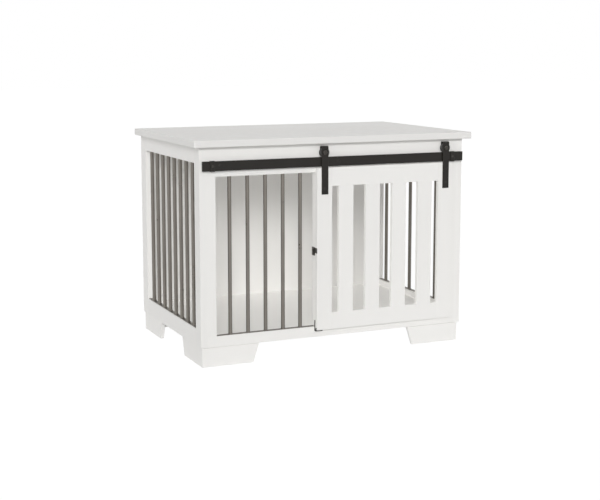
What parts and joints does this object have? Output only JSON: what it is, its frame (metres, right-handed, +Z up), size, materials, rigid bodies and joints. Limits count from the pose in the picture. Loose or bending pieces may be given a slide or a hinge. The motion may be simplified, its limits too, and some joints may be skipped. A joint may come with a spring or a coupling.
{
  "type": "dog crate end table",
  "caption": "White kennel cabinet used as an end table, with steel bar grilles, a solid back, bracket feet and a slatted barn door on a top rail.",
  "frame": {"origin": "on the floor, under the middle of the tabletop (the middle of the whole part seen from above)", "axes": "+X to the right seen from the front, +Y from the front to the back, +Z up"},
  "size_m": [0.8, 0.514, 0.584],
  "materials": {
    "white_lacquer": "satin white lacquer on board",
    "dark_steel": "gunmetal satin",
    "black_steel": "black powder coat",
    "black_nylon": "moulded black nylon"
  },
  "bodies": {
    "cabinet": {"tabletop": "white_lacquer", "floor_panel": "white_lacquer", "back_panel": "white_lacquer", "left_front_stile": "white_lacquer", "left_back_stile": "white_lacquer", "left_bottom_rail": "white_lacquer", "left_top_rail": "white_lacquer", "left_grille": "dark_steel", "right_front_stile": "white_lacquer", "right_back_stile": "white_lacquer", "right_bottom_rail": "white_lacquer", "right_top_rail": "white_lacquer", "right_grille": "dark_steel", "front_header": "white_lacquer", "front_sill": "white_lacquer", "front_left_stile": "white_lacquer", "front_centre_stile": "white_lacquer", "front_right_stile": "white_lacquer", "front_grille": "dark_steel", "front_left_foot_wide_board": "white_lacquer", "front_left_foot_side_board": "white_lacquer", "front_left_foot_block": "white_lacquer", "front_right_foot_wide_board": "white_lacquer", "front_right_foot_side_board": "white_lacquer", "front_right_foot_block": "white_lacquer", "back_left_foot_wide_board": "white_lacquer", "back_left_foot_side_board": "white_lacquer", "back_left_foot_block": "white_lacquer", "back_right_foot_wide_board": "white_lacquer", "back_right_foot_side_board": "white_lacquer", "back_right_foot_block": "white_lacquer", "slide_rail": "black_steel", "rail_spacer_left": "black_steel", "rail_screw_left": "black_steel", "rail_spacer_middle": "black_steel", "rail_screw_middle": "black_steel", "rail_spacer_right": "black_steel", "rail_screw_right": "black_steel", "rail_stop_left": "black_steel", "rail_stop_right": "black_steel", "latch_base": "black_steel", "floor_guide": "black_steel"},
    "door": {"door_left_stile": "white_lacquer", "door_right_stile": "white_lacquer", "door_bottom_rail": "white_lacquer", "door_top_rail": "white_lacquer", "door_slat_1": "white_lacquer", "door_slat_2": "white_lacquer", "door_slat_3": "white_lacquer", "door_slat_4": "white_lacquer", "hanger_strap_left": "black_steel", "wheel_axle_left": "black_steel", "hanger_strap_right": "black_steel", "wheel_axle_right": "black_steel", "latch_strike": "black_steel"},
    "wheel_left": {"hanger_wheel_left": "black_nylon"},
    "wheel_right": {"hanger_wheel_right": "black_nylon"},
    "latch": {"latch_arm": "black_steel"}
  },
  "joints": [
    {"name": "door_slide", "type": "slide", "parent": "cabinet", "child": "door", "axis": [-1, 0, 0], "range_m": [-0.006, 0.293]},
    {"name": "wheel_left_spin", "type": "hinge", "parent": "door", "child": "wheel_left", "pos_m": [-0.0405, -0.247, 0.5428], "axis": [0, -1, 0], "continuous": true},
    {"name": "wheel_right_spin", "type": "hinge", "parent": "door", "child": "wheel_right", "pos_m": [0.3225, -0.247, 0.5428], "axis": [0, -1, 0], "continuous": true},
    {"name": "latch_turn", "type": "hinge", "parent": "cabinet", "child": "latch", "pos_m": [-0.065, -0.2315, 0.2848], "axis": [-1, 0, 0], "range_deg": [0, 90]}
  ],
  "couplings": [
    {"joint": "wheel_left_spin", "follows": "door_slide", "rad_per_m": 86.957},
    {"joint": "wheel_right_spin", "follows": "door_slide", "rad_per_m": 86.957}
  ]
}
